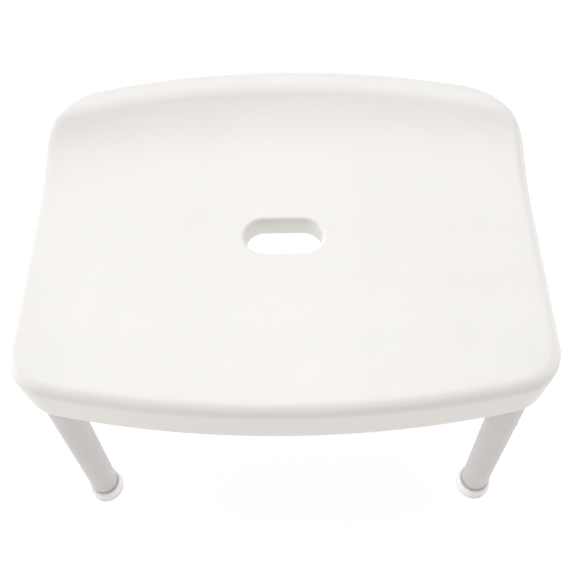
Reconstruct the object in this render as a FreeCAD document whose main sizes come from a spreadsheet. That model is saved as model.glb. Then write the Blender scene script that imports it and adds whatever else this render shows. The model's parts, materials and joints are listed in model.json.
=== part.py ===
import FreeCAD, Part
import math
import os
import Sketcher
from FreeCAD import Placement, Rotation, Vector

# Height-adjustable shower stool. Origin on the floor under the middle of the seat, +Z up,
# the front edge of the seat faces -Y. Every leg piece is drawn upright in its leg's own frame
# (+Z up the leg, +X outward) and is then leaned into place.

doc = FreeCAD.newDocument("shower_stool")

# ---------------------------------------------------------------- driving dimensions, mm and degrees
driving = {
    # seat moulding
    "seat_width": 500,
    "seat_depth": 387,
    "sitting_height": 360,
    "skirt_depth": 55,
    "seat_wall": 4,
    "front_arc": 1055,
    "rear_arc": 814,
    "front_corner": 45,
    "rear_corner": 76,
    "lip_rise": 24.5,
    "lip_ramp": 106,
    "lip_crest_round": 38,
    "lip_crest_land": 16,
    "top_edge_round": 11.5,
    # grip slot with its collar
    "slot_long": 76,
    "slot_wide": 38,
    "slot_ahead": 9,
    "slot_collar_wall": 3,
    "slot_collar_depth": 24.5,
    # ribs under the seat
    "rib_wall": 3,
    "rib_depth": 18,
    "rib_pitch_across": 80,
    "rib_pitch_along": 60,
    # legs
    "foot_side": 235.8,
    "foot_front": 153,
    "foot_rear": 131,
    "splay_side": 3.35,
    "splay_ahead": 1,
    "tube_outer": 15.875,
    "tube_wall": 1.5,
    "tube_low": 26,
    "tube_top": 352,
    "socket_wall": 4,
    "socket_depth": 42,
    "socket_gap": 0.05,
    "socket_floor_gap": 0.5,
    # telescoping inner tube
    "inner_outer": 13,
    "inner_wall": 1.5,
    "inner_low": 8.6,
    "inner_top": 300,
    "bush_gap": 0.1,
    "bush_press_gap": 0.05,
    "bush_length": 30,
    "bush_lip": 2,
    "plug_gap": 0.1,
    "plug_flange": 4,
    "plug_stem": 15,
    # height adjustment
    "hole_pitch": 25,
    "hole_count": 7,
    "button_height": 215,
    "button_round": 4,
    "button_proud": 2.6,
    "button_flange": 4.5,
    "button_flange_at": 9.5,
    "button_flange_thick": 0.7,
    "tube_hole": 4.3,
    "inner_hole": 4.15,
    # V spring
    "strip_width": 8,
    "strip_thick": 0.8,
    "spring_rise": 48,
    "spring_tail": 12,
    "spring_gap": 0.05,
    "spring_lean": 1,
    "spring_elbow": 4,
    # foot
    "foot_top": 22.5,
    "foot_top_round": 18.8,
    "foot_sole_round": 20.5,
    "foot_floor": 7,
    "foot_grip_gap": 0.05,
    "foot_sole_band": 6,
    "foot_top_ease": 1.5,
    "tread_depth": 1.5,
    "washer_round": 12.5,
    "washer_bore": 4,
    "washer_thick": 1.4,
    "washer_gap": 0.1,
    # socket screw
    "screw_height": 335,
    "screw_round": 2,
    "screw_head_round": 4,
    "screw_head_thick": 2.6,
    "screw_seat": 19,
    "screw_length": 10,
    "screw_clear": 0.1,
    "screw_head_clear": 0.4,
    "screw_head_ease": 1.2,
    "screw_point": 1.5,
    # how far cutting tools run past what they cut
    "overrun": 20,
}

sheet = doc.addObject("Spreadsheet::Sheet", "dims")
for row, (alias, number) in enumerate(driving.items(), start=1):
    sheet.set(f"A{row}", alias)
    sheet.set(f"B{row}", str(number))
    sheet.setAlias(f"B{row}", alias)
doc.recompute()

# Ramp of the rear lip: a hollow arc that turns into the crest's arc at the steepest slope.
rampAngle = "2 * atan(dims.lip_rise / dims.lip_ramp)"
rampRadius = f"(dims.lip_ramp / sin({rampAngle}) - dims.lip_crest_round)"
crestStart = "(dims.seat_depth / 2 - dims.lip_crest_land)"
rampStart = f"({crestStart} - dims.lip_ramp)"

legNames = {
    "front_left": (-1, -1),
    "front_right": (1, -1),
    "rear_left": (-1, 1),
    "rear_right": (1, 1),
}


def measure(expression):
    """The number that an expression on the sheet has now."""
    result = sheet.evalExpression(expression)
    return float(getattr(result, "Value", result))


# ---------------------------------------------------------------- sketch and feature helpers
def originPlane(body, role):
    return next(f for f in body.Origin.OriginFeatures if f.Role == role)


def newSketch(body, name, role, lift="0"):
    """An empty sketch on one of the body's own origin planes, lifted along its normal."""
    sketch = body.newObject("Sketcher::SketchObject", name)
    sketch.AttachmentSupport = (originPlane(body, role), [""])
    sketch.MapMode = "FlatFace"
    sketch.setExpression("AttachmentOffset.Base.z", lift)
    return sketch


def bindPoint(sketch, geometry, end, across, up):
    """Hold one end of a line or arc, or a circle's centre, at two expressions."""
    for kind, expression in (("DistanceX", across), ("DistanceY", up)):
        number = measure(expression)
        index = sketch.addConstraint(Sketcher.Constraint(kind, -1, 1, geometry, end, number))
        sketch.setExpression(f"Constraints[{index}]", expression)


def bindRadius(sketch, geometry, expression):
    number = measure(expression)
    index = sketch.addConstraint(Sketcher.Constraint("Radius", geometry, number))
    sketch.setExpression(f"Constraints[{index}]", expression)


def arcBetween(start, end, radius, side):
    """A short arc from start to end; side +1 puts its centre left of the way, -1 right."""
    chord = end - start
    middle = (start + end) * 0.5
    leftward = Vector(-chord.y, chord.x, 0).normalize()
    reach = math.sqrt(radius ** 2 - (chord.Length / 2) ** 2)
    centre = middle + leftward * (side * reach)
    fromAngle = math.atan2(start.y - centre.y, start.x - centre.x)
    toAngle = math.atan2(end.y - centre.y, end.x - centre.x)
    circle = Part.Circle(centre, Vector(0, 0, 1), radius)
    if side > 0:
        return Part.ArcOfCircle(circle, fromAngle, toAngle), 1, 2
    return Part.ArcOfCircle(circle, toAngle, fromAngle), 2, 1


def drawOutline(sketch, corners):
    """A closed outline. A corner is (across, up) or (across, up, radius, side) for an arc to the next."""
    points = [Vector(measure(corner[0]), measure(corner[1]), 0) for corner in corners]
    pieces = []
    for number, corner in enumerate(corners):
        start, end = points[number], points[(number + 1) % len(points)]
        if len(corner) == 4:
            shape, first, last = arcBetween(start, end, measure(corner[2]), corner[3])
        else:
            shape, first, last = Part.LineSegment(start, end), 1, 2
        pieces.append((sketch.addGeometry(shape, False), first, last))
    for number, (geometry, first, last) in enumerate(pieces):
        following, nextFirst, _ = pieces[(number + 1) % len(pieces)]
        sketch.addConstraint(Sketcher.Constraint("Coincident", geometry, last, following, nextFirst))
    for number, corner in enumerate(corners):
        geometry, first, _ = pieces[number]
        bindPoint(sketch, geometry, first, corner[0], corner[1])
        if len(corner) == 4:
            bindRadius(sketch, geometry, corner[2])


def drawCircle(sketch, across, up, radius):
    circle = Part.Circle(Vector(measure(across), measure(up), 0), Vector(0, 0, 1), measure(radius))
    geometry = sketch.addGeometry(circle, False)
    bindPoint(sketch, geometry, 3, across, up)
    bindRadius(sketch, geometry, radius)


def newBody(label):
    body = doc.addObject("PartDesign::Body", label)
    body.Label = label
    return body


def revolve(body, name, corners):
    """Turn an outline, given as (radius, height) corners, once round the body's own Z axis."""
    sketch = newSketch(body, f"{name}_sketch", "XZ_Plane")
    drawOutline(sketch, corners)
    turned = body.newObject("PartDesign::Revolution", name)
    turned.Profile = sketch
    turned.ReferenceAxis = (sketch, ["V_Axis"])
    turned.Angle = 360
    doc.recompute()
    return turned


def pad(body, name, sketch, length, bothWays=False):
    grown = body.newObject("PartDesign::Pad", name)
    grown.Profile = sketch
    grown.setExpression("Length", length)
    grown.Midplane = bothWays
    doc.recompute()
    return grown


def drill(body, name, radius, height, outward):
    """A round hole through one wall of a tube, on its +X side if outward, else on its -X side."""
    before = body.Shape.Volume
    sketch = newSketch(body, f"{name}_sketch", "YZ_Plane")
    drawCircle(sketch, "0", height, radius)
    hole = body.newObject("PartDesign::Pocket", name)
    hole.Profile = sketch
    hole.Type = "Length"
    hole.setExpression("Length", "dims.tube_outer + dims.overrun")
    hole.Reversed = outward
    doc.recompute()
    if not body.Shape.Volume < before:
        raise RuntimeError(f"{name} cut nothing")
    return hole


# ---------------------------------------------------------------- seat
def wallEdges(shape, lowest):
    """Names of the edges above lowest that run along the top of an upright wall."""
    names = []
    for number, edge in enumerate(shape.Edges, start=1):
        if edge.BoundBox.ZMin < lowest:
            continue
        upright = 0
        for face in shape.ancestorsOfType(edge, Part.Face):
            u0, u1, v0, v1 = face.ParameterRange
            normal = face.normalAt((u0 + u1) / 2, (v0 + v1) / 2)
            upright += abs(normal.z) < 0.01
        if upright == 1:
            names.append(f"Edge{number}")
    return names


def roundEdges(body, name, base, names, radius):
    rounded = body.newObject("PartDesign::Fillet", name)
    rounded.Base = (base, names)
    rounded.setExpression("Radius", radius)
    doc.recompute()
    return rounded


def seatBlank(label, wall, bottom, topRound):
    """The seat's solid form, shrunk by wall on its sides and top, down to bottom."""
    body = newBody(label)
    outline = newSketch(body, f"{label}_outline", "XY_Plane", bottom)
    halfWidth = f"(dims.seat_width / 2 - {wall})"
    frontArc = f"(dims.front_arc - {wall})"
    rearArc = f"(dims.rear_arc - {wall})"
    frontCorner = f"dims.front_arc - dims.seat_depth / 2 - sqrt({frontArc} ^ 2 - {halfWidth} ^ 2)"
    rearCorner = f"dims.seat_depth / 2 - dims.rear_arc + sqrt({rearArc} ^ 2 - {halfWidth} ^ 2)"
    drawOutline(outline, [
        (f"-{halfWidth}", frontCorner, frontArc, 1),
        (halfWidth, frontCorner),
        (halfWidth, rearCorner, rearArc, 1),
        (f"-{halfWidth}", rearCorner),
    ])
    block = pad(body, f"{label}_block", outline, f"dims.lip_rise + dims.overrun - ({bottom})")
    base = block
    for name, radius, rear in (("front", "dims.front_corner", False), ("rear", "dims.rear_corner", True)):
        upright = []
        for number, edge in enumerate(base.Shape.Edges, start=1):
            tall = edge.BoundBox.ZLength > 10 and edge.BoundBox.XLength < 0.01
            centre = edge.CenterOfMass
            if tall and abs(centre.x) > measure(halfWidth) - 1 and (centre.y > 0) == rear:
                upright.append(f"Edge{number}")
        base = roundEdges(body, f"{label}_{name}_corners", base, upright, f"{radius} - {wall}")
    profile = newSketch(body, f"{label}_profile", "YZ_Plane")
    front = "-(dims.seat_depth / 2 + dims.overrun)"
    rear = "dims.seat_depth / 2 + dims.overrun"
    above = "dims.lip_rise + 2 * dims.overrun"
    hollow = f"({rampRadius} + {wall})"
    steepest = f"{rampStart} + {hollow} * sin({rampAngle})"
    steepestHeight = f"{rampRadius} - {hollow} * cos({rampAngle})"
    drawOutline(profile, [
        (front, f"-({wall})"),
        (rampStart, f"-({wall})", hollow, 1),
        (steepest, steepestHeight, f"dims.lip_crest_round - {wall}", -1),
        (crestStart, f"dims.lip_rise - {wall}"),
        (rear, f"dims.lip_rise - {wall}"),
        (rear, above),
        (front, above),
    ])
    pivot = profile.addGeometry(Part.LineSegment(Vector(-600, 0, 0), Vector(-600, 50, 0)), True)
    bindPoint(profile, pivot, 1, "dims.seat_depth / 2 - dims.rear_arc", "0")
    bindPoint(profile, pivot, 2, "dims.seat_depth / 2 - dims.rear_arc", "50")
    doc.recompute()
    top = body.newObject("PartDesign::Groove", f"{label}_top")
    top.Profile = profile
    top.ReferenceAxis = (profile, ["Axis0"])
    top.Angle = 360
    doc.recompute()
    if not top.Shape.Volume < base.Shape.Volume:
        raise RuntimeError("the lip's profile cut nothing")
    return roundEdges(body, f"{label}_top_round", top, wallEdges(top.Shape, -10), topRound), body


def partObject(kind, name, **sizes):
    """A Part primitive whose sizes are bound to expressions."""
    thing = doc.addObject(kind, name)
    for size, expression in sizes.items():
        thing.setExpression(size, expression)
    return thing


def boolean(kind, name, members, label=None):
    thing = doc.addObject(kind, name)
    if kind == "Part::Cut" or kind == "Part::Common":
        thing.Base, thing.Tool = members
    else:
        thing.Shapes = members
    thing.Label = label or name
    doc.recompute()
    return thing


def legPlacement(side, end):
    """Where a leg's own frame stands: on the floor under its foot, leaned in by both splays."""
    reach = measure("dims.foot_front") if end < 0 else measure("dims.foot_rear")
    foot = Vector(side * measure("dims.foot_side"), end * reach, 0)
    upLeg = Vector(-side * measure("tan(dims.splay_side)"), -end * measure("tan(dims.splay_ahead)"), 1)
    facing = Rotation(Vector(0, 0, 1), 0 if side > 0 else 180)
    return Placement(foot, Rotation(Vector(0, 0, 1), upLeg) * facing)


def inLegFrame(thing, side, end, own=Placement()):
    thing.Placement = legPlacement(side, end) * own


def slotPrism(label, grow, bottom, top):
    """A stadium-shaped prism along the slot, grown all round by grow."""
    body = newBody(label)
    sketch = newSketch(body, f"{label}_outline", "XY_Plane", bottom)
    radius = f"(dims.slot_wide / 2 + {grow})"
    straight = "((dims.slot_long - dims.slot_wide) / 2)"
    ends = Vector(measure(straight), 0, 0)
    reach = measure(radius)
    lines = []
    for way in (1, -1):
        start = Vector(-way * ends.x, -way * reach, 0)
        end = Vector(way * ends.x, -way * reach, 0)
        arc = Part.ArcOfCircle(
            Part.Circle(ends * way, Vector(0, 0, 1), reach),
            math.radians(-90 * way), math.radians(-90 * way) + math.pi)
        lines.append((sketch.addGeometry(Part.LineSegment(start, end)), sketch.addGeometry(arc)))
    for way, (line, arc) in zip((1, -1), lines):
        nextLine = lines[1 if way > 0 else 0][0]
        sketch.addConstraint(Sketcher.Constraint("Tangent", line, 2, arc, 1))
        sketch.addConstraint(Sketcher.Constraint("Tangent", arc, 2, nextLine, 1))
        bindPoint(sketch, arc, 3, f"{way} * {straight}", "0")
    bindRadius(sketch, lines[0][1], radius)
    pad(body, f"{label}_pad", sketch, f"({top}) - ({bottom})")
    return body


def makeSeat():
    """One moulding: shell, ribs, slot collar and leg sockets, all clipped to the shell's inside."""
    _, outer = seatBlank("seat_form", "0", "-dims.skirt_depth", "dims.top_edge_round")
    _, inner = seatBlank(
        "seat_hollow", "dims.seat_wall", "-dims.skirt_depth - dims.overrun",
        "dims.top_edge_round - dims.seat_wall")
    sitting = Placement(Vector(0, 0, measure("dims.sitting_height")), Rotation())
    for body in (outer, inner):
        body.Placement = sitting
    shell = boolean("Part::Cut", "seat_skin", (outer, inner))

    ribs = []
    for number in (-2, -1, 1, 2):
        rib = partObject("Part::Box", f"rib_across_{number + 2}", Length="dims.rib_wall",
                         Width="dims.seat_depth", Height="dims.rib_depth + dims.lip_rise")
        rib.setExpression("Placement.Base.x", f"{number} * dims.rib_pitch_across - dims.rib_wall / 2")
        rib.setExpression("Placement.Base.y", "-dims.seat_depth / 2")
        ribs.append(rib)
    for number in (-2, -1, 0, 1, 2):
        rib = partObject("Part::Box", f"rib_along_{number + 2}", Length="dims.seat_width",
                         Width="dims.rib_wall", Height="dims.rib_depth + dims.lip_rise")
        rib.setExpression("Placement.Base.x", "-dims.seat_width / 2")
        rib.setExpression("Placement.Base.y", f"{number} * dims.rib_pitch_along - dims.rib_wall / 2")
        ribs.append(rib)
    for rib in ribs:
        rib.setExpression("Placement.Base.z", "dims.sitting_height - dims.seat_wall - dims.rib_depth")

    collar = slotPrism("slot_collar", "dims.slot_collar_wall", "-dims.slot_collar_depth", "0")
    overSlot = sitting * Placement(Vector(0, -measure("dims.slot_ahead"), 0), Rotation())
    collar.Placement = overSlot
    slot = slotPrism("slot_cut", "0", "-dims.skirt_depth", "dims.lip_rise")
    slot.Placement = overSlot

    sockets = []
    cuts = [slot]
    socketHeight = "dims.socket_depth + dims.overrun"
    for name, (side, end) in legNames.items():
        socket = partObject("Part::Cylinder", f"socket_{name}",
                            Radius="dims.tube_outer + dims.socket_wall", Height=socketHeight)
        bottom = measure("dims.tube_top + dims.socket_floor_gap - dims.socket_depth")
        inLegFrame(socket, side, end, Placement(Vector(0, 0, bottom), Rotation()))
        sockets.append(socket)
        bore = partObject("Part::Cylinder", f"socket_bore_{name}",
                          Radius="dims.tube_outer + dims.socket_gap", Height=socketHeight)
        below = bottom - measure("dims.overrun")
        inLegFrame(bore, side, end, Placement(Vector(0, 0, below), Rotation()))
        cuts.append(bore)
        across = Rotation(Vector(0, 1, 0), -90)
        height = measure("dims.screw_height")
        way = partObject("Part::Cylinder", f"screw_way_{name}",
                         Radius="dims.screw_round + dims.screw_clear", Height="dims.screw_seat")
        inLegFrame(way, side, end, Placement(Vector(0, 0, height), across))
        seat = partObject("Part::Cylinder", f"screw_seat_{name}",
                          Radius="dims.screw_head_round + dims.screw_head_clear",
                          Height="dims.screw_length")
        inLegFrame(seat, side, end, Placement(Vector(-measure("dims.screw_seat"), 0, height), across))
        cuts += [way, seat]

    inside = boolean("Part::MultiFuse", "seat_inside", ribs + sockets + [collar])
    clipped = boolean("Part::Common", "seat_inside_clipped", (inside, inner))
    moulding = boolean("Part::MultiFuse", "seat_moulding", [shell, clipped])
    openings = boolean("Part::MultiFuse", "seat_openings", cuts)
    return boolean("Part::Cut", "seat_whole", (moulding, openings), "seat_shell")


# ---------------------------------------------------------------- leg pieces, drawn in the leg's frame
def ring(inner, outer, low, high):
    return [(inner, low), (outer, low), (outer, high), (inner, high)]


def makeLegTube(label):
    body = newBody(label)
    bore = "dims.tube_outer - dims.tube_wall"
    revolve(body, f"{label}_wall", ring(bore, "dims.tube_outer", "dims.tube_low", "dims.tube_top"))
    lowest = "dims.button_height - dims.hole_pitch * (dims.hole_count - 1)"
    hole = drill(body, f"{label}_hole", "dims.tube_hole", lowest, True)
    row = body.newObject("PartDesign::LinearPattern", f"{label}_holes")
    row.Originals = [hole]
    row.Direction = (hole.Profile[0], ["V_Axis"])
    row.setExpression("Length", "dims.hole_pitch * (dims.hole_count - 1)")
    row.setExpression("Occurrences", "dims.hole_count")
    body.Tip = row
    doc.recompute()
    drill(body, f"{label}_screw_hole", "dims.screw_round + dims.screw_clear", "dims.screw_height", False)
    return body


def makeGuideBush(label):
    body = newBody(label)
    bore = "dims.inner_outer + dims.bush_gap"
    sleeve = "dims.tube_outer - dims.tube_wall - dims.bush_press_gap"
    revolve(body, f"{label}_turned", [
        (bore, "dims.tube_low - dims.bush_lip"),
        ("dims.tube_outer", "dims.tube_low - dims.bush_lip"),
        ("dims.tube_outer", "dims.tube_low"),
        (sleeve, "dims.tube_low"),
        (sleeve, "dims.tube_low + dims.bush_length"),
        (bore, "dims.tube_low + dims.bush_length"),
    ])
    return body


def makeInnerTube(label):
    body = newBody(label)
    bore = "dims.inner_outer - dims.inner_wall"
    revolve(body, f"{label}_wall", ring(bore, "dims.inner_outer", "dims.inner_low", "dims.inner_top"))
    drill(body, f"{label}_hole", "dims.inner_hole", "dims.button_height", True)
    return body


def makeGlidePlug(label):
    body = newBody(label)
    flange = "dims.tube_outer - dims.tube_wall - dims.plug_gap"
    stem = "dims.inner_outer - dims.inner_wall - dims.bush_press_gap"
    revolve(body, f"{label}_turned", [
        ("0", "dims.inner_top - dims.plug_stem"),
        (stem, "dims.inner_top - dims.plug_stem"),
        (stem, "dims.inner_top"),
        (flange, "dims.inner_top"),
        (flange, "dims.inner_top + dims.plug_flange"),
        ("0", "dims.inner_top + dims.plug_flange"),
    ])
    return body


def makeSnapButton(label):
    """A domed steel button on a thin flange, turned about its own axis, pointing outward."""
    body = newBody(label)
    tip = "dims.tube_outer + dims.button_proud"
    shoulder = f"({tip} - dims.button_round / 2)"
    dome = "(1.25 * dims.button_round)"
    revolve(body, f"{label}_turned", [
        ("0", "dims.button_flange_at"),
        ("dims.button_flange", "dims.button_flange_at"),
        ("dims.button_flange", "dims.button_flange_at + dims.button_flange_thick"),
        ("dims.button_round", "dims.button_flange_at + dims.button_flange_thick"),
        ("dims.button_round", shoulder, dome, 1),
        ("0", tip),
    ])
    return body


def makeSnapSpring(label):
    """A bent steel strip: one leaf carries the button, the other leans on the far wall."""
    body = newBody(label)
    sketch = newSketch(body, f"{label}_bend", "XZ_Plane")
    face = "(dims.button_flange_at - dims.spring_gap)"
    low = "dims.button_height - dims.spring_tail"
    elbow = "dims.button_height + dims.button_flange + dims.spring_elbow"
    apex = "dims.button_height + dims.spring_rise"
    far = "(dims.inner_outer - dims.inner_wall - dims.spring_lean)"
    drawOutline(sketch, [
        (f"{face} - dims.strip_thick", low),
        (face, low),
        (face, elbow),
        ("dims.strip_thick", apex),
        ("-dims.strip_thick", apex),
        (f"-{far}", low),
        (f"-{far} + dims.strip_thick", low),
        ("0", f"{apex} - 4 * dims.strip_thick"),
        (f"{face} - dims.strip_thick", f"{elbow} - dims.strip_thick / 2"),
    ])
    pad(body, f"{label}_strip", sketch, "dims.strip_width", True)
    return body


def makeFootWasher(label):
    body = newBody(label)
    low = "dims.foot_floor + dims.washer_gap"
    revolve(body, f"{label}_turned", ring(
        "dims.washer_bore", "dims.washer_round", low, f"{low} + dims.washer_thick"))
    return body


def makeFoot(label, side, end):
    """Rubber ferrule round the inner tube's end. The floor trims its sole, so it stands flat."""
    body = newBody(f"{label}_form")
    bore = "dims.inner_outer + dims.foot_grip_gap"
    revolve(body, f"{label}_turned", [
        ("0", "-dims.foot_floor"),
        ("dims.foot_sole_round", "-dims.foot_floor"),
        ("dims.foot_sole_round", "dims.foot_sole_band"),
        ("dims.foot_top_round", "dims.foot_top - dims.foot_top_ease"),
        ("dims.foot_top_round - dims.foot_top_ease", "dims.foot_top"),
        (bore, "dims.foot_top"),
        (bore, "dims.foot_floor"),
        ("0", "dims.foot_floor"),
    ])
    inLegFrame(body, side, end)
    wide, deep = "4 * dims.foot_sole_round", "dims.overrun"
    floor = partObject("Part::Box", f"{label}_floor", Length=wide, Width=wide, Height=deep)
    centre = legPlacement(side, end).Base
    corner = Vector(-measure(wide) / 2, -measure(wide) / 2, -measure(deep))
    floor.Placement = Placement(centre + corner, Rotation())
    cuts = [floor]
    for number in (1, 2):
        groove = doc.addObject("Part::Torus", f"{label}_tread_{number}")
        groove.setExpression("Radius1", f"{number} * dims.foot_sole_round / 3")
        groove.setExpression("Radius2", "dims.tread_depth")
        groove.Placement = Placement(centre, Rotation())
        cuts.append(groove)
    removed = boolean("Part::MultiFuse", f"{label}_removed", cuts)
    return boolean("Part::Cut", f"{label}_whole", (body, removed), label)


def makeSocketScrew(name):
    """A pan-head screw, turned about its own axis; its thread is left as a plain shank."""
    body = newBody(f"screw_{name}")
    revolve(body, f"screw_{name}_turned", [
        ("0", "dims.screw_seat - dims.screw_length"),
        ("dims.screw_round", "dims.screw_seat - dims.screw_length + dims.screw_point"),
        ("dims.screw_round", "dims.screw_seat"),
        ("dims.screw_head_round", "dims.screw_seat"),
        ("dims.screw_head_round", "dims.screw_seat + dims.screw_head_thick / 2"),
        ("dims.screw_head_round - dims.screw_head_ease", "dims.screw_seat + dims.screw_head_thick"),
        ("0", "dims.screw_seat + dims.screw_head_thick"),
    ])
    return body


# ---------------------------------------------------------------- assembly
subparts = [makeSeat()]
makers = {
    "leg_tube": makeLegTube,
    "guide_bush": makeGuideBush,
    "inner_tube": makeInnerTube,
    "glide_plug": makeGlidePlug,
    "snap_spring": makeSnapSpring,
    "foot_washer": makeFootWasher,
}
screws = []
for name, (side, end) in legNames.items():
    for piece, make in makers.items():
        body = make(f"{piece}_{name}")
        inLegFrame(body, side, end)
        subparts.append(body)
    button = makeSnapButton(f"snap_button_{name}")
    height = Vector(0, 0, measure("dims.button_height"))
    inLegFrame(button, side, end, Placement(height, Rotation(Vector(0, 1, 0), 90)))
    subparts.append(button)
    subparts.append(makeFoot(f"foot_{name}", side, end))
    screw = makeSocketScrew(name)
    height = Vector(0, 0, measure("dims.screw_height"))
    inLegFrame(screw, side, end, Placement(height, Rotation(Vector(0, 1, 0), -90)))
    screws.append(screw)
group = doc.addObject("Part::Compound", "screw_group")
group.Links = screws
group.Label = "socket_screws"
subparts.append(group)
doc.recompute()

# ---------------------------------------------------------------- checks, then the files
for thing in doc.Objects:
    if "Invalid" in thing.State or "Error" in thing.State:
        raise RuntimeError(f"{thing.Label} did not build: {thing.State}")
for thing in subparts:
    if thing.Shape.isNull() or not thing.Shape.isValid():
        raise RuntimeError(f"{thing.Label} has no valid shape")
os.makedirs("parts", exist_ok=True)
for thing in subparts:
    thing.Shape.exportStep(f"parts/{thing.Label}.step")
    box = thing.Shape.BoundBox
    print(f"{thing.Label}: {len(thing.Shape.Solids)} solid(s), {thing.Shape.Volume / 1000:.1f} cm3, "
          f"{box.XLength:.1f} x {box.YLength:.1f} x {box.ZLength:.1f} mm")
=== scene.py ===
import json
import math
import bmesh
import bpy
from mathutils import Euler, Matrix, Vector

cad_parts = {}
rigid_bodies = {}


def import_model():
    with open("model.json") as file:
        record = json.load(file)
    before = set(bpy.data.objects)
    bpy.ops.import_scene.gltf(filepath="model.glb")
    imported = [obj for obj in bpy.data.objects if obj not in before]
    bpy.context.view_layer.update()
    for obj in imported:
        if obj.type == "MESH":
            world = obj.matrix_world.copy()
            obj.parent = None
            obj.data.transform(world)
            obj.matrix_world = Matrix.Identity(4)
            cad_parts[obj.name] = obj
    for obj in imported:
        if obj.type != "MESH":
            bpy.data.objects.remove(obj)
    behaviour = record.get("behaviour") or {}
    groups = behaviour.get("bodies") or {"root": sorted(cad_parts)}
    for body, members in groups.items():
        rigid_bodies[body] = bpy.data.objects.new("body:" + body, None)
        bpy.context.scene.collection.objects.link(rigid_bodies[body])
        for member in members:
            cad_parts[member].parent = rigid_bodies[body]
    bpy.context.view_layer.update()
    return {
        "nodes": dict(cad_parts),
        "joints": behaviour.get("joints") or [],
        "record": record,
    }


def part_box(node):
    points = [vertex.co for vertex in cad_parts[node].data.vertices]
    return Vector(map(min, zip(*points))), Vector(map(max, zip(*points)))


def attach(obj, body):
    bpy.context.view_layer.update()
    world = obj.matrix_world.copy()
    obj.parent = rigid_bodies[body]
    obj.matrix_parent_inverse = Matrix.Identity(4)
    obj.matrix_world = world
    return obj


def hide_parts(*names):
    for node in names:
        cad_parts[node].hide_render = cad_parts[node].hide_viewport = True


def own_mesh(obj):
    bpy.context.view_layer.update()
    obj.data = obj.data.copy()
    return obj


# Height-adjustable shower stool: a one-piece moulded seat on four telescoping legs.
# Metres throughout. The front of the seat faces -Y and the floor is z = 0.

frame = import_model()
print("frame loaded:", len(frame["nodes"]), "CAD nodes")

mm = 0.001
legNames = ["front_left", "front_right", "rear_left", "rear_right"]
mounts = {mount["name"]: mount for mount in frame["record"]["mounts"]}
joints = {joint["name"]: joint for joint in frame["joints"]}
sittingHeight = mounts["sitting_face"]["pos_m"][2]
seatLow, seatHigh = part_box("seat_shell")


# mesh helpers

def deselectAll():
    if bpy.context.object and bpy.context.object.mode != "OBJECT":
        bpy.ops.object.mode_set(mode="OBJECT")
    for thing in bpy.context.view_layer.objects:
        thing.select_set(False)


def makeActive(piece):
    deselectAll()
    piece.select_set(True)
    bpy.context.view_layer.objects.active = piece


def openMesh(piece):
    makeActive(piece)
    bpy.ops.object.mode_set(mode="EDIT")
    bpy.ops.mesh.select_mode(type="VERT")
    bpy.ops.mesh.select_all(action="SELECT")


def closeMesh():
    bpy.ops.object.mode_set(mode="OBJECT")


def pick(piece, kind, test):    # kind is verts, edges or faces
    modes = {"verts": "VERT", "edges": "EDGE", "faces": "FACE"}
    bpy.ops.mesh.select_mode(type=modes[kind])
    bpy.ops.mesh.select_all(action="DESELECT")
    mesh = bmesh.from_edit_mesh(piece.data)
    mesh.normal_update()
    for item in getattr(mesh, kind):
        item.select_set(bool(test(item)))
    mesh.select_flush_mode()
    bmesh.update_edit_mesh(piece.data)


def middle(item):
    return sum((corner.co for corner in item.verts), Vector()) / len(item.verts)


def useModifier(piece, kind, **settings):
    makeActive(piece)
    modifier = piece.modifiers.new(kind.lower(), kind)
    for name, value in settings.items():
        setattr(modifier, name, value)
    bpy.ops.object.modifier_apply(modifier=modifier.name)


def carve(piece, tool, how="DIFFERENCE", overlapping=False):    # the tool is used up
    useModifier(piece, "BOOLEAN", operation=how, object=tool, solver="EXACT", use_self=overlapping)
    bpy.data.objects.remove(tool)


def joinPieces(pieces, name):
    makeActive(pieces[0])
    for piece in pieces:
        piece.select_set(True)
    bpy.ops.object.join()
    pieces[0].name = name
    return pieces[0]


def copyPiece(piece, name):
    twin = piece.copy()
    twin.data = piece.data.copy()
    twin.name = name
    bpy.context.scene.collection.objects.link(twin)
    return twin


def settle(piece, place=Matrix.Identity(4)):    # the place goes into the mesh
    makeActive(piece)
    bpy.context.view_layer.update()
    piece.matrix_world = place @ piece.matrix_world
    bpy.ops.object.transform_apply(location=True, rotation=True, scale=True)
    return piece


def smooth(piece, degrees=32):
    makeActive(piece)
    bpy.ops.object.shade_smooth_by_angle(angle=math.radians(degrees))
    useModifier(piece, "WEIGHTED_NORMAL", keep_sharp=True, weight=50)


def startVertex(name, place):    # a mesh of one vertex, open and selected
    deselectAll()
    bpy.ops.mesh.primitive_plane_add(size=mm, location=(0, 0, 0))
    piece = bpy.context.object
    piece.name = name
    bpy.ops.object.mode_set(mode="EDIT")
    bpy.ops.mesh.select_mode(type="VERT")
    bpy.ops.mesh.select_all(action="SELECT")
    bpy.ops.mesh.merge(type="CENTER")
    bpy.ops.transform.translate(value=place)
    return piece


def drawOn(step):
    bpy.ops.mesh.extrude_region_move(TRANSFORM_OT_translate={"value": step})


def swingOn(centre, degrees, steps):    # anticlockwise about an upright axis
    bpy.ops.mesh.spin(steps=steps, angle=-math.radians(degrees), center=centre, axis=(0, 0, 1))


def weld():
    bpy.ops.mesh.select_all(action="SELECT")
    bpy.ops.mesh.remove_doubles(threshold=0.002 * mm)


def arcPoints(centre, radius, start, end, steps):
    angles = [math.radians(start + (end - start) * step / steps) for step in range(steps + 1)]
    return [(centre[0] + radius * math.cos(a), centre[1] + radius * math.sin(a)) for a in angles]


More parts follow.
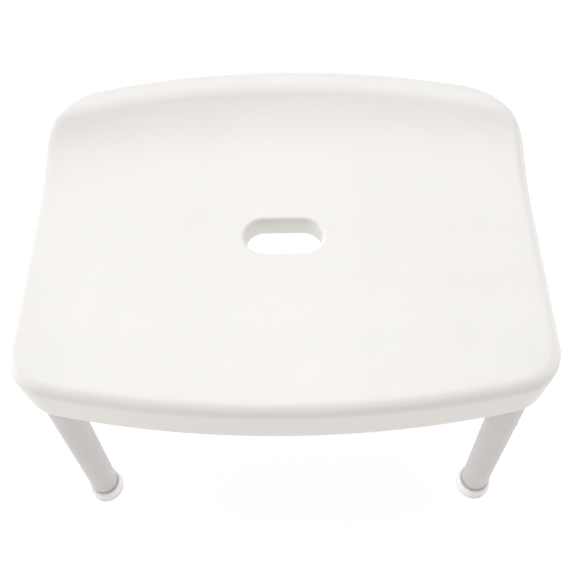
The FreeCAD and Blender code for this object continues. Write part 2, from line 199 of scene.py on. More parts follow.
def turned(name, outline, steps=72):    # outline in mm as (radius, height), spun about Z
    points = [Vector((radius * mm, 0, height * mm)) for radius, height in outline]
    piece = startVertex(name, points[0])
    for last, point in zip(points, points[1:]):
        drawOn(point - last)
    bpy.ops.mesh.select_all(action="SELECT")
    bpy.ops.mesh.spin(steps=steps, angle=math.tau, center=(0, 0, 0), axis=(0, 0, 1))
    weld()
    bpy.ops.mesh.normals_make_consistent(inside=False)
    closeMesh()
    return piece


def rod(name, radius, low, high, place=Matrix.Identity(4), corners=48):
    deselectAll()
    bpy.ops.mesh.primitive_cylinder_add(vertices=corners, radius=radius, depth=high - low)
    piece = bpy.context.object
    piece.name = name
    return settle(piece, place @ Matrix.Translation((0, 0, (low + high) / 2)))


def block(name, low, high):
    deselectAll()
    low, high = Vector(low), Vector(high)
    bpy.ops.mesh.primitive_cube_add(size=1, location=(low + high) / 2)
    piece = bpy.context.object
    piece.name = name
    piece.scale = high - low
    return settle(piece)


# legs: each stands in its own frame, origin on the floor, +Z up the leg, +X outward

def legFrame(leg):
    foot = Vector(mounts[f"floor_{leg}"]["pos_m"])
    upLeg = -Vector(joints[f"leg_slide_{leg}"]["axis"]).normalized()
    outward = -Vector(joints[f"button_press_{leg}"]["axis"]).normalized()
    turn = Matrix((outward, upLeg.cross(outward), upLeg)).transposed().to_4x4()
    return Matrix.Translation(foot) @ turn


legs = {leg: legFrame(leg) for leg in legNames}
faceOutward = Matrix.Rotation(math.radians(90), 4, "Y")      # Z of a turned piece to the leg's +X
faceInward = Matrix.Rotation(math.radians(-90), 4, "Y")


# finishes: sockets do maths as Python expressions

class Wire:
    def __init__(self, finish, socket):
        self.finish = finish
        self.socket = socket

    def maths(self, operation, *values):
        return self.finish.node("ShaderNodeMath", {"operation": operation}, dict(enumerate(values)))

    def __add__(self, other):
        return self.maths("ADD", self, other)

    def __radd__(self, other):
        return self.maths("ADD", other, self)

    def __sub__(self, other):
        return self.maths("SUBTRACT", self, other)

    def __rsub__(self, other):
        return self.maths("SUBTRACT", other, self)

    def __mul__(self, other):
        return self.maths("MULTIPLY", self, other)

    def __rmul__(self, other):
        return self.maths("MULTIPLY", other, self)

    def __abs__(self):
        return self.maths("ABSOLUTE", self)

    def between(self, low, high):    # 0 below low, 1 above high, smooth in between
        return self.finish.node("ShaderNodeMapRange", {"interpolation_type": "SMOOTHSTEP"},
                                {"Value": self, "From Min": low, "From Max": high})


class Finish:
    def __init__(self, name, **constants):
        self.material = bpy.data.materials.new(name)
        self.material.use_nodes = True
        self.tree = self.material.node_tree
        self.shader = self.tree.nodes["Principled BSDF"]
        for socket, value in constants.items():
            self.shader.inputs[socket.replace("_", " ")].default_value = value
        self.place = self.node("ShaderNodeTexCoord", output="Object")

    def node(self, kind, settings=None, values=None, output=0):
        made = self.tree.nodes.new(kind)
        for name, value in (settings or {}).items():
            setattr(made, name, value)
        for socket, value in (values or {}).items():
            if isinstance(value, Wire):
                self.tree.links.new(value.socket, made.inputs[socket])
            else:
                made.inputs[socket].default_value = value
        return Wire(self, made.outputs[output])

    def noise(self, size, detail=3.0, stretch=(1, 1, 1), roughness=0.55, distortion=0.0):
        spread = self.node("ShaderNodeMapping", {}, {"Vector": self.place, "Scale": stretch})
        return self.node("ShaderNodeTexNoise", {}, {
            "Vector": spread, "Scale": 1 / size, "Detail": detail, "Roughness": roughness,
            "Distortion": distortion})

    def blend(self, mask, first, second):
        return self.node("ShaderNodeMix", {"data_type": "RGBA"},
                         {0: mask, 6: first, 7: second}, output=2)

    def scratches(self, size, width, stretch=(1, 1, 1)):    # thin wandering lines, patchy
        lines = 1 - abs(self.noise(size, 1.0, stretch, distortion=0.6) - 0.5).between(0, width)
        return lines * self.noise(size * 1.7, 2.0).between(0.5, 0.7)

    def heights(self):    # the piece's own height above the floor
        return self.node("ShaderNodeSeparateXYZ", {}, {"Vector": self.place}, output="Z")

    def bump(self, height, distance):
        self.feed("Normal", self.node("ShaderNodeBump", {}, {"Height": height, "Distance": distance,
                                                             "Strength": 1.0}))

    def feed(self, socket, value):
        self.tree.links.new(value.socket, self.shader.inputs[socket])


def lean(finish, place):    # patterns follow a leg's own frame
    finish.place = finish.node("ShaderNodeMapping", {"vector_type": "TEXTURE"}, {
        "Vector": finish.place, "Location": place.to_translation(), "Rotation": place.to_euler()})


def paint(piece, finish):
    piece.data.materials.clear()
    piece.data.materials.append(finish.material)


seatPlastic = {
    "colour": (0.80, 0.795, 0.782, 1),
    "colourWorn": (0.785, 0.778, 0.76, 1),
    "grain": 0.0009,
    "grainDepth": 0.00003,
    "rough": 0.40,
    "roughDrift": 0.10,
    "glow": 0.45,    # light carried through the plastic
    "glowDepth": 0.005,
}


def makeSeatPlastic():
    p = seatPlastic
    finish = Finish("seat_plastic", IOR=1.49, Subsurface_Weight=p["glow"],
                    Subsurface_Scale=p["glowDepth"], Subsurface_Radius=(1.0, 0.9, 0.8))
    drift = finish.noise(0.16, 4)
    hairlines = finish.scratches(0.022, 0.012)
    film = finish.noise(0.045, 5, distortion=0.4).between(0.45, 0.75)
    grain = finish.noise(p["grain"], 2)
    finish.feed("Base Color", finish.blend(drift.between(0.35, 0.8) * 0.7 + film * 0.3,
                                           p["colour"], p["colourWorn"]))
    finish.feed("Roughness", p["rough"] + drift * p["roughDrift"] - film * 0.05 + hairlines * 0.08)
    finish.bump(grain + drift * 3.0 - hairlines * 1.2, p["grainDepth"])
    return finish


legMetal = {
    "colour": (0.60, 0.575, 0.57, 1),
    "colourDull": (0.55, 0.53, 0.525, 1),
    "metallic": 0.55,
    "rough": 0.42,
    "drawLine": 0.0005,
    "drawStretch": (1, 1, 0.012),
}


def makeLegMetal(leg):
    p = legMetal
    finish = Finish(f"leg_aluminium_{leg}", Metallic=p["metallic"])
    lean(finish, legs[leg])
    lines = finish.noise(p["drawLine"], 2, p["drawStretch"])
    clouds = finish.noise(0.05, 4)
    scuffs = finish.scratches(0.012, 0.015, (1, 1, 0.35))
    finish.feed("Base Color", finish.blend(clouds.between(0.4, 0.75) * 0.6 + lines * 0.3,
                                           p["colour"], p["colourDull"]))
    finish.feed("Roughness", p["rough"] + (lines - 0.5) * 0.16 + clouds * 0.06 + scuffs * 0.12)
    finish.bump(lines * 0.6 - scuffs, 0.00002)
    return finish


innerMetal = {
    "colour": (0.50, 0.505, 0.51, 1),
    "colourRubbed": (0.58, 0.585, 0.59, 1),
    "rough": 0.26,
}


def makeInnerMetal(leg):
    p = innerMetal
    finish = Finish(f"inner_metal_{leg}", Metallic=1.0)
    lean(finish, legs[leg])
    lines = finish.noise(0.0005, 2, (1, 1, 0.01))
    rubs = finish.noise(0.006, 3, (1, 1, 0.05)).between(0.5, 0.72)    # long marks from the bush
    finish.feed("Base Color", finish.blend(rubs, p["colour"], p["colourRubbed"]))
    finish.feed("Roughness", p["rough"] + (lines - 0.5) * 0.14 - rubs * 0.07)
    finish.bump(lines * 0.5 - rubs * 0.4, 0.00002)
    return finish


footRubber = {
    "colour": (0.93, 0.91, 0.92, 1),
    "colourSoiled": (0.78, 0.76, 0.74, 1),
    "rough": 0.62,
    "soiledHeight": 0.003,
}


def makeFootRubber():
    p = footRubber
    finish = Finish("foot_rubber", IOR=1.52)
    specks = finish.noise(0.0007, 3)
    clouds = finish.noise(0.012, 4)
    soiled = 1 - (finish.heights() + (clouds - 0.5) * 0.004).between(0, p["soiledHeight"])
    finish.feed("Base Color", finish.blend(soiled * 0.5 + clouds.between(0.5, 0.9) * 0.2,
                                           p["colour"], p["colourSoiled"]))
    finish.feed("Roughness", p["rough"] + clouds * 0.12 + soiled * 0.1)
    finish.bump(specks + clouds * 2.0, 0.00004)
    return finish


def makeMoulded(name, colour, darker, rough):    # small plain mouldings: bush and plug
    finish = Finish(name, IOR=1.5)
    clouds = finish.noise(0.01, 4)
    specks = finish.noise(0.0006, 2)
    finish.feed("Base Color", finish.blend(clouds.between(0.4, 0.8), colour, darker))
    finish.feed("Roughness", rough + clouds * 0.1)
    finish.bump(specks, 0.00002)
    return finish


def makeSteel(name, colour, darker, rough, stretch=(1, 1, 1)):    # small steel pieces
    finish = Finish(name, Metallic=1.0)
    brushed = finish.noise(0.0004, 2, stretch)
    clouds = finish.noise(0.004, 4)
    nicks = finish.scratches(0.003, 0.02)
    finish.feed("Base Color", finish.blend(clouds.between(0.35, 0.8), colour, darker))
    finish.feed("Roughness", rough + (brushed - 0.5) * 0.15 + clouds * 0.08 + nicks * 0.1)
    finish.bump(brushed * 0.5 - nicks, 0.00001)
    return finish


seatFinish = makeSeatPlastic()
rubberFinish = makeFootRubber()
# The bush's mid grey is painted shade: the lip is darkened to stand in for the shadow gap between the
# tube end and the foot.
bushShadowGapFinish = makeMoulded("bush_plastic", (0.46, 0.45, 0.455, 1), (0.38, 0.37, 0.375, 1), 0.45)
plugFinish = makeMoulded("plug_plastic", (0.62, 0.61, 0.59, 1), (0.55, 0.54, 0.52, 1), 0.42)
washerFinish = makeSteel("washer_steel", (0.60, 0.60, 0.59, 1), (0.50, 0.50, 0.49, 1), 0.34)
springFinish = makeSteel("spring_steel", (0.42, 0.43, 0.45, 1), (0.33, 0.34, 0.36, 1), 0.30,
                         stretch=(1, 1, 0.05))
buttonFinish = makeSteel("button_steel", (0.72, 0.72, 0.73, 1), (0.62, 0.62, 0.63, 1), 0.18)
screwFinish = makeSteel("screw_steel", (0.63, 0.63, 0.64, 1), (0.52, 0.52, 0.53, 1), 0.27)
print("finishes mixed")


# seat: the outline is drawn with arcs, filled, turned down into a skirt and hollowed

seatShape = {
    "frontArc": 1.055,
    "rearArc": 0.814,
    "frontCorner": 0.045,
    "rearCorner": 0.076,
    "frontSteps": 66,
    "frontCornerSteps": 14,
    "sideSteps": 36,
    "rearCornerSteps": 20,
    "rearSteps": 60,
    "rimRings": (0.0125, 0.003, 0.003, 0.003, 0.0035, 0.0035, 0.0035),
    "topRound": 0.0115,
    "topRoundSteps": 8,
    "rampLength": 0.106,
    "crestRound": 0.038,
    "crestLand": 0.016,
    "wall": 0.004,
    "bottomRound": 0.0011,
    "slotLong": 0.076,
    "slotWide": 0.038,
    "slotAhead": 0.009,
    "slotRound": 0.004,
    "slotLedge": 0.0003,
    "slotCutterHeight": 0.02,
    "collarWall": 0.003,
    "collarDepth": 0.0245,
    "ribWall": 0.003,
    "ribDepth": 0.018,
    "ribPitchAcross": 0.080,
    "ribPitchAlong": 0.060,
    "socketWall": 0.004,
    "socketDepth": 0.042,
    "socketGap": 0.0005,
    "socketLength": 0.062,
    "boreOverrun": 0.02,
}
tubeShape = {
    "radius": 15.875,
    "wall": 1.5,
    "low": 26,
    "top": 352,
    "holePitch": 25,
    "holeCount": 7,
    "buttonHeight": 215,
    "hole": 4.3,
    "deburr": 0.35,
    "screwHeight": 335,
    "screwSeat": 19,
    "screwHole": 2.1,
    "screwHead": 4,
    "screwHeadPlay": 0.4,
    "screwWay": 10,
    "socketPlay": 0.05,
    "ease": 0.3,
}


def drawSeatOutline():
    s = seatShape
    halfWidth = seatHigh.x
    frontCentre = seatLow.y + s["frontArc"]
    rearCentre = seatHigh.y - s["rearArc"]
    frontX = halfWidth - s["frontCorner"]
    rearX = halfWidth - s["rearCorner"]
    frontTurn = math.asin(frontX / (s["frontArc"] - s["frontCorner"]))
    rearTurn = math.asin(rearX / (s["rearArc"] - s["rearCorner"]))
    frontY = frontCentre - (s["frontArc"] - s["frontCorner"]) * math.cos(frontTurn)
    rearY = rearCentre + (s["rearArc"] - s["rearCorner"]) * math.cos(rearTurn)
    frontTurn, rearTurn = math.degrees(frontTurn), math.degrees(rearTurn)

    def swing(x, y, degrees, steps):
        swingOn((x, y, sittingHeight), degrees, steps)

    def side(way):
        for _ in range(s["sideSteps"]):
            drawOn((0, way * (rearY - frontY) / s["sideSteps"], 0))

    startTurn = math.radians(frontTurn)
    start = (-s["frontArc"] * math.sin(startTurn), frontCentre - s["frontArc"] * math.cos(startTurn))
    piece = startVertex("seat", (*start, sittingHeight))
    swing(0, frontCentre, 2 * frontTurn, s["frontSteps"])
    swing(frontX, frontY, 90 - frontTurn, s["frontCornerSteps"])
    side(1)
    swing(rearX, rearY, 90 - rearTurn, s["rearCornerSteps"])
    swing(0, rearCentre, 2 * rearTurn, s["rearSteps"])
    swing(-rearX, rearY, 90 - rearTurn, s["rearCornerSteps"])
    side(-1)
    swing(-frontX, frontY, 90 - frontTurn, s["frontCornerSteps"])
    weld()
    return piece


def lipHeight(x, y):    # hollow ramp, then the rounded crest, both about the rear arc's centre
    s = seatShape
    rise = seatHigh.z - sittingHeight
    slope = 2 * math.atan(rise / s["rampLength"])
    hollow = s["rampLength"] / math.sin(slope) - s["crestRound"]
    pivot = seatHigh.y - s["rearArc"]
    along = math.hypot(x, y - pivot) - (s["rearArc"] - s["crestLand"] - s["rampLength"])
    if along <= 0:
        return 0.0
    if along >= s["rampLength"]:
        return rise
    if along < hollow * math.sin(slope):
        return hollow - math.sqrt(hollow ** 2 - along ** 2)
    rest = s["rampLength"] - along
    return rise - s["crestRound"] + math.sqrt(s["crestRound"] ** 2 - rest ** 2)


def fillSeatTop(piece):    # rings that follow the rim, a grid inside them, then the lip
    s = seatShape
    bpy.ops.mesh.edge_face_add()
    mesh = bmesh.from_edit_mesh(piece.data)
    mesh.faces.ensure_lookup_table()
    if mesh.faces[0].normal.z < 0:
        bpy.ops.mesh.flip_normals()
    bpy.ops.mesh.select_mode(type="FACE")
    for ring in s["rimRings"]:
        bpy.ops.mesh.inset(thickness=ring, depth=0, use_even_offset=True)
    bpy.ops.mesh.delete(type="ONLY_FACE")
    inside = sum(s["rimRings"]) - 0.001

    def isInner(edge):
        x, y, _ = middle(edge)
        fromRear = math.hypot(x, y - seatHigh.y + s["rearArc"])
        fromFront = math.hypot(x, y - seatLow.y - s["frontArc"])
        return (edge.is_boundary and abs(x) < seatHigh.x - inside
                and fromRear < s["rearArc"] - inside and fromFront < s["frontArc"] - inside)

    pick(piece, "edges", isInner)
    mesh = bmesh.from_edit_mesh(piece.data)
    ring = [corner for corner in mesh.verts if corner.select]
    mesh.select_history.clear()
    mesh.select_history.add(min(ring, key=lambda corner: corner.co.x + corner.co.y))
    bmesh.update_edit_mesh(piece.data)
    bpy.ops.mesh.select_mode(type="VERT")
    bpy.ops.mesh.fill_grid(span=s["frontSteps"] + s["frontCornerSteps"], offset=0)
    closeMesh()
    for vertex in piece.data.vertices:
        vertex.co.z += lipHeight(vertex.co.x, vertex.co.y)


def dropSkirt(piece):
    s = seatShape
    openMesh(piece)
    pick(piece, "edges", lambda edge: edge.is_boundary)
    drawOn((0, 0, seatLow.z - sittingHeight))
    bpy.ops.transform.resize(value=(1, 1, 0), center_override=(0, 0, seatLow.z))
    pick(piece, "edges", lambda edge: len(edge.link_faces) == 2
         and sum(abs(face.normal.z) < 0.1 for face in edge.link_faces) == 1)
    bpy.ops.mesh.bevel(offset=s["topRound"], segments=s["topRoundSteps"], affect="EDGES", profile=0.5)
    closeMesh()


def seatForm(piece, shrink):    # the seat's outside as a solid, drawn in by shrink
    form = copyPiece(piece, "seat_form")
    openMesh(form)
    pick(form, "edges", lambda edge: edge.is_boundary)
    bpy.ops.mesh.edge_face_add()
    closeMesh()
    useModifier(form, "DISPLACE", strength=-shrink, mid_level=0)
    return form


def stadium(name, long, wide, low, high):
    half, radius = (long - wide) / 2, wide / 2
    piece = startVertex(name, (half, -radius, low))
    swingOn((half, 0, low), 180, 24)
    drawOn((-2 * half, 0, 0))
    swingOn((-half, 0, low), 180, 24)
    weld()
    bpy.ops.mesh.edge_face_add()
    drawOn((0, 0, high - low))
    bpy.ops.mesh.select_all(action="SELECT")
    bpy.ops.mesh.normals_make_consistent(inside=False)
    closeMesh()
    return piece


def slotCutter():    # it flares at the top, so the rim of the slot comes out rounded
    s = seatShape
    grow = s["slotRound"] + s["slotLedge"]
    ledge = sittingHeight + 0.02 * mm
    long, wide = s["slotLong"] + 2 * grow, s["slotWide"] + 2 * grow
    piece = stadium("slot_cutter", long, wide, ledge, ledge + s["slotCutterHeight"])
    openMesh(piece)
    pick(piece, "faces", lambda face: face.normal.z < -0.9)
    bpy.ops.mesh.inset(thickness=grow, depth=0, use_even_offset=True)
    drawOn((0, 0, seatLow.z - ledge))
    half, radius = (s["slotLong"] - s["slotWide"]) / 2, s["slotWide"] / 2

    def isRim(edge):
        x, y, z = middle(edge)
        reach = math.hypot(max(abs(x) - half, 0), y)
        return abs(z - ledge) < 0.01 * mm and abs(reach - radius) < 0.1 * mm

    pick(piece, "edges", isRim)
    bpy.ops.mesh.bevel(offset=s["slotRound"], segments=7, affect="EDGES", profile=0.5)
    closeMesh()
    return settle(piece, Matrix.Translation((0, -s["slotAhead"], 0)))


def underSeat():    # ribs, slot collar and leg sockets, still too tall
    s = seatShape
    ribBottom = sittingHeight - s["wall"] - s["ribDepth"]
    half = s["ribWall"] / 2
    pieces = []
    for number in (-2, -1, 1, 2):
        x = number * s["ribPitchAcross"]
        pieces.append(block("rib", (x - half, seatLow.y, ribBottom), (x + half, seatHigh.y, seatHigh.z)))
    for number in (-2, -1, 0, 1, 2):
        y = number * s["ribPitchAlong"]
        pieces.append(block("rib", (seatLow.x, y - half, ribBottom), (seatHigh.x, y + half, seatHigh.z)))
    collarGrow = 2 * s["collarWall"]
    collar = stadium("collar", s["slotLong"] + collarGrow, s["slotWide"] + collarGrow,
                     sittingHeight - s["collarDepth"], sittingHeight)
    pieces.append(settle(collar, Matrix.Translation((0, -s["slotAhead"], 0))))
    socketLow = tubeShape["top"] * mm + s["socketGap"] - s["socketDepth"]
    socketRadius = tubeShape["radius"] * mm + s["socketWall"]
    socketHigh = socketLow + s["socketLength"]
    for leg in legNames:
        pieces.append(rod("socket", socketRadius, socketLow, socketHigh, legs[leg], 64))
    return joinPieces(pieces, "under_seat")


def makeSeat():
    s, t = seatShape, tubeShape
    piece = drawSeatOutline()
    fillSeatTop(piece)
    dropSkirt(piece)
    print("seat skin:", len(piece.data.polygons), "faces")
    form = seatForm(piece, s["wall"] / 2)
    useModifier(piece, "SOLIDIFY", thickness=s["wall"], offset=-1, use_even_offset=True)
    openMesh(piece)
    pick(piece, "edges", lambda edge: all(v.co.z < seatLow.z + 0.05 * mm for v in edge.verts)
         and len(edge.link_faces) == 2 and edge.calc_face_angle() > 1)
    bpy.ops.mesh.bevel(offset=s["bottomRound"], segments=3, affect="EDGES", profile=0.5)
    closeMesh()
    under = underSeat()
    carve(under, form, "INTERSECT", overlapping=True)
    carve(piece, under, "UNION", overlapping=True)
    carve(piece, slotCutter())
    boreRadius = (t["radius"] + t["socketPlay"]) * mm
    boreHigh = t["top"] * mm + s["socketGap"]
    boreLow = boreHigh - s["socketDepth"] - s["boreOverrun"]
    screwSeat, screwHead = t["screwSeat"], t["screwHead"] + t["screwHeadPlay"]
    screwEnd = screwSeat + t["screwWay"]
    for leg in legNames:
        carve(piece, rod("bore", boreRadius, boreLow, boreHigh, legs[leg], 64))
        inward = legs[leg] @ Matrix.Translation((0, 0, t["screwHeight"] * mm)) @ faceInward
        cutter = turned("screw_way", [(0, 0), (t["screwHole"], 0), (t["screwHole"], screwSeat),
                                      (screwHead, screwSeat), (screwHead, screwEnd),
                                      (0, screwEnd)], 32)
        carve(piece, settle(cutter, inward))
    openMesh(piece)
    weld()
    closeMesh()
    smooth(piece)
    paint(piece, seatFinish)
    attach(piece, "stool")
    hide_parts("seat_shell")
    return piece


seat = makeSeat()
print("seat done:", len(seat.data.polygons), "faces")


# tubes: turned with eased ends, then drilled and deburred

def easedRing(bore, radius, low, high, ease):
    return [(bore, low + ease), (bore + ease, low), (radius - ease, low), (radius, low + ease),
            (radius, high - ease), (radius - ease, high), (bore + ease, high), (bore, high - ease),
            (bore, low + ease)]


def drillOutward(piece, heights, hole, radius, deburr):
    for height in heights:
        place = Matrix.Translation((0, 0, height * mm)) @ faceOutward
        carve(piece, rod("drill", hole * mm, 0, 2 * radius * mm, place, 40))

    def isRim(edge):
        if len(edge.link_faces) != 2 or edge.calc_face_angle() < 0.6:
            return False
        spot = middle(edge)
        if spot.x < 0 or math.hypot(spot.x, spot.y) < (radius - 0.1) * mm:
            return False
        return any(abs(math.hypot(spot.y, spot.z - height * mm) - hole * mm) < 0.06 * mm
                   for height in heights)

    openMesh(piece)
    pick(piece, "edges", isRim)
    bpy.ops.mesh.bevel(offset=deburr * mm, segments=2, affect="EDGES", profile=0.5)
    closeMesh()


def makeTube():
    t = tubeShape
    ring = easedRing(t["radius"] - t["wall"], t["radius"], t["low"], t["top"], t["ease"])
    piece = turned("tube", ring, 96)
    heights = [t["buttonHeight"] - t["holePitch"] * number for number in range(t["holeCount"])]
    drillOutward(piece, heights, t["hole"], t["radius"], t["deburr"])
    place = Matrix.Translation((0, 0, t["screwHeight"] * mm)) @ faceInward
    carve(piece, rod("drill", t["screwHole"] * mm, 0, 2 * t["radius"] * mm, place, 32))
    return piece


innerShape = {
    "radius": 13,
    "wall": 1.5,
    "low": 8.6,
    "top": 300,
    "hole": 4.15,
    "deburr": 0.25,
    "ease": 0.25,
}


def makeInnerTube():
    t = innerShape
    ring = easedRing(t["radius"] - t["wall"], t["radius"], t["low"], t["top"], t["ease"])
    piece = turned("inner", ring, 96)
    drillOutward(piece, [tubeShape["buttonHeight"]], t["hole"], t["radius"], t["deburr"])
    return piece


bushShape = {
    "bore": 13.1,
    "sleeve": 14.325,
    "length": 30,
    "lip": 2,
    "lipRound": 0.7,
    "ease": 0.4,
    "sleeveEase": 0.5,
}


def makeBush():
    b, t = bushShape, tubeShape
    low, lip, r = t["low"] - b["lip"], t["radius"], b["lipRound"]
    sleeve, ease, high = b["sleeve"], b["sleeveEase"], t["low"] + b["length"]
    outline = [(b["bore"], low + b["ease"]), (b["bore"] + b["ease"], low)]
    outline += arcPoints((lip - r, low + r), r, -90, 0, 5)
    outline += [(lip, t["low"]), (sleeve, t["low"]), (sleeve, high - ease), (sleeve - ease, high),
                (b["bore"], high), (b["bore"], low + b["ease"])]
    return turned("bush", outline)


# foot: a rubber ferrule with a sole band; the floor trims it level

footShape = {
    "soleRadius": 20.5,
    "soleBand": 5.2,
    "neckRadius": 19.7,
    "topRadius": 18.8,
    "top": 22.5,
    "topRound": 2.0,
    "bore": 13.05,
    "floor": 7,
    "treadRings": (6.83, 13.67),
    "treadDepth": 1.5,
    "soleEase": 0.7,
    "bandRound": 0.8,
    "neckRound": 0.5,
    "mouthRound": 0.8,
}


def makeFoot(name, place):
    f = footShape
    r, band, neck, mouth = f["topRound"], f["bandRound"], f["neckRound"], f["mouthRound"]
    outline = [(0, -f["floor"]), (f["soleRadius"], -f["floor"])]
    outline += arcPoints((f["soleRadius"] - band, f["soleBand"] - band), band, 0, 90, 5)
    outline += arcPoints((f["neckRadius"] + neck, f["soleBand"] + neck), neck, 270, 180, 4)[1:]
    outline += arcPoints((f["topRadius"] - r, f["top"] - r), r, 3, 90, 7)
    outline += arcPoints((f["bore"] + mouth, f["top"] - mouth), mouth, 90, 180, 5)
    outline += [(f["bore"], f["floor"]), (0, f["floor"])]
    piece = settle(turned(name, outline), place)
    openMesh(piece)
    bpy.ops.mesh.bisect(plane_co=(0, 0, 0), plane_no=(0, 0, 1), use_fill=True, clear_inner=True)
    centre = place.to_translation()
    pick(piece, "edges", lambda edge: all(v.co.z < 0.01 * mm for v in edge.verts)
         and (middle(edge) - centre).length > f["soleRadius"] * mm * 0.9)
    bpy.ops.mesh.bevel(offset=f["soleEase"] * mm, segments=3, affect="EDGES", profile=0.5)
    closeMesh()
    for ring in f["treadRings"]:
        deselectAll()
        bpy.ops.mesh.primitive_torus_add(location=centre, major_radius=ring * mm, major_segments=64,
                                         minor_radius=f["treadDepth"] * mm, minor_segments=16)
        groove = bpy.context.object
        carve(piece, settle(groove))
    openMesh(piece)
    bpy.ops.mesh.dissolve_degenerate(threshold=0.01 * mm)
    closeMesh()
    return piece


# snap button and the V spring that carries it

buttonShape = {
    "radius": 4,
    "flange": 4.5,
    "flangeAt": 9.5,
    "flangeThick": 0.7,
    "flangeEase": 0.2,
    "tip": 18.475,
    "edge": 1.1,
    "crown": 9.0,
}


def makeButton():
    b = buttonShape
    flat = b["radius"] - b["edge"]
    crownAngle = math.degrees(math.asin(flat / b["crown"]))
    shoulder = b["tip"] - b["crown"] * (1 - math.cos(math.radians(crownAngle)))
    low, high, ease = b["flangeAt"], b["flangeAt"] + b["flangeThick"], b["flangeEase"]
    outline = [(0, low), (b["flange"] - ease, low), (b["flange"], low + ease), (b["flange"], high),
               (b["radius"], high)]
    outline += arcPoints((flat, shoulder - b["edge"]), b["edge"], 0, 90 - crownAngle, 6)
    outline += arcPoints((0, b["tip"] - b["crown"]), b["crown"], 90 - crownAngle, 90, 6)[1:]
    return turned("button", outline, 48)


springShape = {
    "width": 8,
    "thick": 0.8,
    "front": 9.05,
    "back": -10.1,
    "low": 203,
    "elbow": 223.5,
    "apex": 263,
    "bend": 2.2,
}


def makeSpring():    # one leaf carries the button, the other leans on the far wall
    w = springShape
    bendHeight = w["apex"] - w["bend"] - w["thick"] / 2
    points = [(w["front"], w["low"]), (w["front"], w["elbow"])]
    points += arcPoints((0, bendHeight), w["bend"], 12, 168, 10)
    points += [(w["back"], w["low"])]
    spots = [Vector((x * mm, -w["width"] / 2 * mm, z * mm)) for x, z in points]
    piece = startVertex("spring", spots[0])
    for last, spot in zip(spots, spots[1:]):
        drawOn(spot - last)
    bpy.ops.mesh.select_all(action="SELECT")
    drawOn((0, w["width"] * mm, 0))
    closeMesh()
    useModifier(piece, "SOLIDIFY", thickness=w["thick"] * mm, offset=0, use_even_offset=True)
    openMesh(piece)
    bpy.ops.mesh.normals_make_consistent(inside=False)
    closeMesh()
    useModifier(piece, "BEVEL", width=0.15 * mm, segments=2, limit_method="ANGLE")
    return piece


# socket screws: pan heads with a plain cross recess

screwShape = {
    "radius": 2,
    "root": 1.55,
    "pitch": 1.3,
    "head": 4,
    "headThick": 2.6,
    "length": 10,
    "recess": 2.3,
    "recessWide": 0.9,
    "recessDeep": 1.5,
}


def makeScrew():
    w = screwShape
    seatAt = tubeShape["screwSeat"]
    low, top = seatAt - w["length"], seatAt + w["headThick"]
    outline = [(0, low), (w["root"], low + 1.5)]
    for turn in range(int((w["length"] - 2) / w["pitch"])):
        height = low + 1.5 + turn * w["pitch"]
        outline += [(w["radius"], height + w["pitch"] / 2), (w["root"], height + w["pitch"])]
    outline += [(w["root"], seatAt), (w["head"] - 0.2, seatAt), (w["head"], seatAt + 0.2)]
    outline += arcPoints((w["head"] - 1.6, top - 1.6), 1.6, 0, 90, 7)
    outline += [(0, top)]
    piece = turned("screw", outline, 48)
    reach, half = w["recess"] * mm, w["recessWide"] / 2 * mm
    floor, above = (top - w["recessDeep"]) * mm, (top + 1) * mm
    carve(piece, block("slot", (-reach, -half, floor), (reach, half, above)))
    carve(piece, block("slot", (-half, -reach, floor), (half, reach, above)))
    return piece


def finishPiece(piece, name, place, finish, body, node):
    piece.name = name
    if place:
        settle(piece, place)
    smooth(piece)
    paint(piece, finish)
    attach(piece, body)
    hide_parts(node)
    return piece


tube, innerTube, bush = makeTube(), makeInnerTube(), makeBush()
button, spring, screw = makeButton(), makeSpring(), makeScrew()
print("leg pieces modelled once")

buttonAt = Matrix.Translation((0, 0, tubeShape["buttonHeight"] * mm)) @ faceOutward
screwAt = Matrix.Translation((0, 0, tubeShape["screwHeight"] * mm)) @ faceInward
screws = []
for leg in legNames:
    place = legs[leg]
    inner = f"inner_leg_{leg}"
    finishPiece(copyPiece(tube, "tube"), f"outer_tube_{leg}", place, makeLegMetal(leg),
                "stool", f"leg_tube_{leg}")
    finishPiece(copyPiece(bush, "bush"), f"tube_bush_{leg}", place, bushShadowGapFinish,
                "stool", f"guide_bush_{leg}")
    finishPiece(copyPiece(innerTube, "inner"), f"sliding_tube_{leg}", place, makeInnerMetal(leg),
                inner, f"inner_tube_{leg}")
    finishPiece(makeFoot("ferrule", place), f"rubber_foot_{leg}", None, rubberFinish,
                inner, f"foot_{leg}")
    finishPiece(copyPiece(button, "button"), f"domed_button_{leg}", place @ buttonAt, buttonFinish,
                f"button_{leg}", f"snap_button_{leg}")
    strip = finishPiece(copyPiece(spring, "spring"), f"spring_strip_{leg}", place, springFinish,
                        inner, f"snap_spring_{leg}")
    place.to_3x3() @ Vector((1, 0, 0))
    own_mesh(strip)
    screws.append(settle(copyPiece(screw, "screw"), place @ screwAt))
    paint(frame["nodes"][f"glide_plug_{leg}"], plugFinish)
    paint(frame["nodes"][f"foot_washer_{leg}"], washerFinish)
finishPiece(joinPieces(screws, "screws"), "pan_head_screws", None, screwFinish, "stool",
            "socket_screws")
for pattern in (tube, innerTube, bush, button, spring, screw):
    bpy.data.objects.remove(pattern)
print("legs assembled")


# floor, light and camera

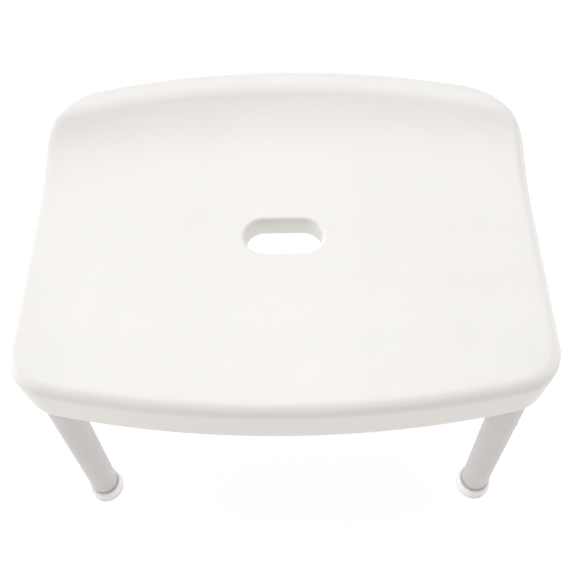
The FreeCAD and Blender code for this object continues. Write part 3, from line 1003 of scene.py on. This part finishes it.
studio = {
    "floorSize": 80.0,
    "floorColour": (0.25, 0.25, 0.25, 1),
    "floorGlow": 0.85,
    "worldStrength": 0.37,
    "worldColour": (1.0, 0.997, 0.993, 1),
    "topSun": {"from": (-0.12, 0.40, 1.0), "strength": 1.95, "spread": 50, "colour": (1, 1, 1)},
    "leftSun": {"from": (-1.0, 0.05, 0.12), "strength": 1.6, "spread": 40, "colour": (1, 1, 1)},
    "rightSun": {"from": (1.0, 0.15, 0.10), "strength": 0.85, "spread": 40, "colour": (1, 1, 1)},
    "frontSun": {"from": (0.0, -1.0, 0.30), "strength": 0.26, "spread": 60, "colour": (1.0, 0.50, 0.24)},
}
view = {
    "place": (0.0132, -0.4198, 0.9640),
    "turn": 1.03,
    "tilt": 30.19,
    "roll": -1.50,
    "lens": 47.2,
    "shift": (-0.0103, 0.0054),
}


def makeFloor():
    deselectAll()
    bpy.ops.mesh.primitive_plane_add(size=studio["floorSize"], location=(0, 0, 0))
    floor = bpy.context.object
    floor.name = "studio_floor"
    finish = Finish("studio_floor", Roughness=0.9, Emission_Strength=studio["floorGlow"],
                    Emission_Color=(1, 1, 1, 1), Specular_IOR_Level=0.0)
    cast = finish.noise(0.9, 2)
    finish.feed("Base Color", finish.blend(cast * 0.1, studio["floorColour"], (0.28, 0.28, 0.28, 1)))
    paint(floor, finish)


def makeSun(name):    # a wide sun is a softbox with no fall-off across the seat
    spec = studio[name]
    data = bpy.data.lights.new(name, "SUN")
    data.energy = spec["strength"]
    data.angle = math.radians(spec["spread"])
    data.color = spec["colour"]
    lamp = bpy.data.objects.new(name, data)
    lamp.rotation_euler = Vector(spec["from"]).to_track_quat("Z", "Y").to_euler()
    bpy.context.scene.collection.objects.link(lamp)


def makeCamera():
    data = bpy.data.cameras.new("camera")
    data.lens = view["lens"]
    data.shift_x, data.shift_y = view["shift"]
    camera = bpy.data.objects.new("camera", data)
    turns = [Matrix.Rotation(math.radians(view[name]), 4, axis)
             for name, axis in (("turn", "Z"), ("tilt", "X"), ("roll", "Z"))]
    camera.matrix_world = Matrix.Translation(view["place"]) @ turns[0] @ turns[1] @ turns[2]
    bpy.context.scene.collection.objects.link(camera)
    bpy.context.scene.camera = camera


makeFloor()
for sun in ("topSun", "leftSun", "rightSun", "frontSun"):
    makeSun(sun)
makeCamera()
world = bpy.data.worlds.new("studio")
world.use_nodes = True
sky = world.node_tree.nodes["Background"]
sky.inputs["Color"].default_value = studio["worldColour"]
sky.inputs["Strength"].default_value = studio["worldStrength"]
bpy.context.scene.world = world
bpy.context.scene.view_settings.view_transform = "Standard"
print("studio lit")
